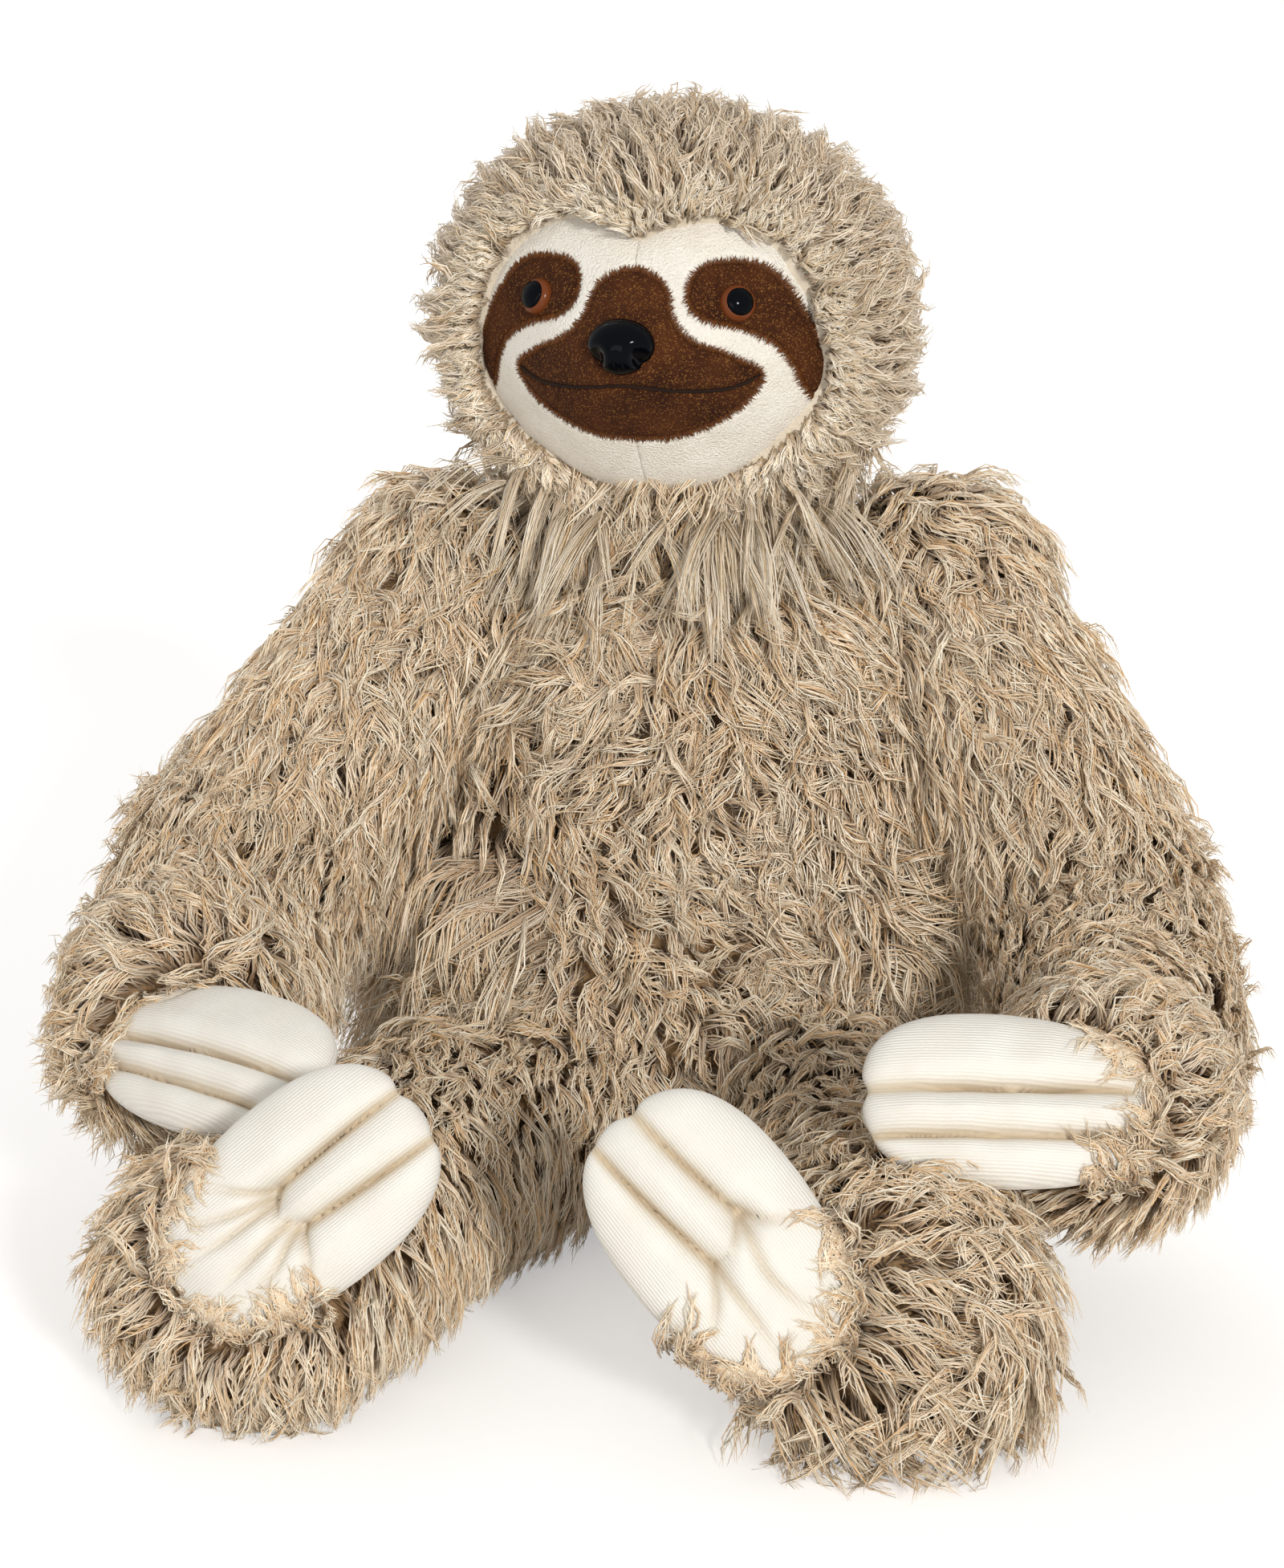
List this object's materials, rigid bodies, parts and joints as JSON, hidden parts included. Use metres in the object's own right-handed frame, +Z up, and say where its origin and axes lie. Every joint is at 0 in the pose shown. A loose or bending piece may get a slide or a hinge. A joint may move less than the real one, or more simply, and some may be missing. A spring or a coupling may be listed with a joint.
{
  "type": "plush sloth toy",
  "caption": "Sitting long-furred plush sloth with a short-plush face, safety eyes, a hard nose and knitted paws; its head, arms and legs turn.",
  "frame": {"origin": "middle of the flat that the torso sits on, on the floor", "axes": "+Z up, -Y the way the torso faces, +X to the right of someone who looks at its face"},
  "size_m": [0.558, 0.5301, 0.558],
  "materials": {
    "fur": "long curly pile",
    "head_fur": "long upright pile",
    "filling": "loose polyester fibre",
    "white_plush": "short dense pile",
    "brown_plush": "short dense pile",
    "knit": "fine jersey",
    "thread": "matt thread",
    "iris": "gloss",
    "black": "gloss",
    "washer": "matt"
  },
  "bodies": {
    "torso": {"torso_cover": "fur", "torso_filling": "filling"},
    "neck": {"neck_cover": "fur", "neck_filling": "filling"},
    "head": {"head_cover": "head_fur", "head_filling": "filling", "muzzle_upper": "brown_plush", "muzzle_lower": "brown_plush", "mouth_thread": "thread", "face_panel_left": "white_plush", "face_panel_right": "white_plush", "eye_patch_left": "brown_plush", "eye_patch_right": "brown_plush", "eye_ring_left": "iris", "eye_ring_right": "iris", "eye_pupil_left": "black", "eye_pupil_right": "black", "eye_washer_left": "washer", "eye_washer_right": "washer", "nose_cap": "black", "nose_washer": "washer"},
    "upper_arm_left": {"upper_arm_cover_left": "fur", "upper_arm_filling_left": "filling"},
    "upper_arm_right": {"upper_arm_cover_right": "fur", "upper_arm_filling_right": "filling"},
    "forearm_left": {"forearm_cover_left": "fur", "forearm_filling_left": "filling", "hand_palm_left": "knit", "hand_back_left": "knit", "hand_filling_left": "filling"},
    "forearm_right": {"forearm_cover_right": "fur", "forearm_filling_right": "filling", "hand_palm_right": "knit", "hand_back_right": "knit", "hand_filling_right": "filling"},
    "leg_left": {"leg_cover_left": "fur", "leg_filling_left": "filling", "foot_sole_left": "knit", "foot_upper_left": "knit", "foot_filling_left": "filling"},
    "leg_right": {"leg_cover_right": "fur", "leg_filling_right": "filling", "foot_sole_right": "knit", "foot_upper_right": "knit", "foot_filling_right": "filling"}
  },
  "joints": [
    {"name": "neck_turn", "type": "hinge", "parent": "torso", "child": "neck", "pos_m": [-0.007, -0.014, 0.364], "axis": [0, 0, 1], "range_deg": [-35, 35], "stiffness_Nm_per_rad": 0.3},
    {"name": "head_nod", "type": "hinge", "parent": "neck", "child": "head", "pos_m": [-0.007, -0.014, 0.364], "axis": [0.9724, -0.2334, 0], "range_deg": [-8, 12], "stiffness_Nm_per_rad": 5},
    {"name": "shoulder_raise_left", "type": "hinge", "parent": "torso", "child": "upper_arm_left", "pos_m": [-0.124, 0, 0.32], "axis": [0, 1, 0], "range_deg": [0, 75]},
    {"name": "elbow_bend_left", "type": "hinge", "parent": "upper_arm_left", "child": "forearm_left", "pos_m": [-0.22688, -0.07772, 0.18733], "axis": [-0.6926, -0.2428, 0.6793], "range_deg": [0, 40]},
    {"name": "shoulder_raise_right", "type": "hinge", "parent": "torso", "child": "upper_arm_right", "pos_m": [0.124, 0, 0.32], "axis": [0, -1, 0], "range_deg": [0, 75]},
    {"name": "elbow_bend_right", "type": "hinge", "parent": "upper_arm_right", "child": "forearm_right", "pos_m": [0.20165, -0.0795, 0.1721], "axis": [-0.8059, 0.2289, -0.5461], "range_deg": [0, 40]},
    {"name": "hip_roll_left", "type": "hinge", "parent": "torso", "child": "leg_left", "pos_m": [-0.074, -0.045, 0.0615], "axis": [-0.4352, -0.9003, 0], "range_deg": [0, 45]},
    {"name": "hip_roll_right", "type": "hinge", "parent": "torso", "child": "leg_right", "pos_m": [0.074, -0.045, 0.0615], "axis": [-0.04, 0.9992, 0], "range_deg": [0, 45]}
  ]
}
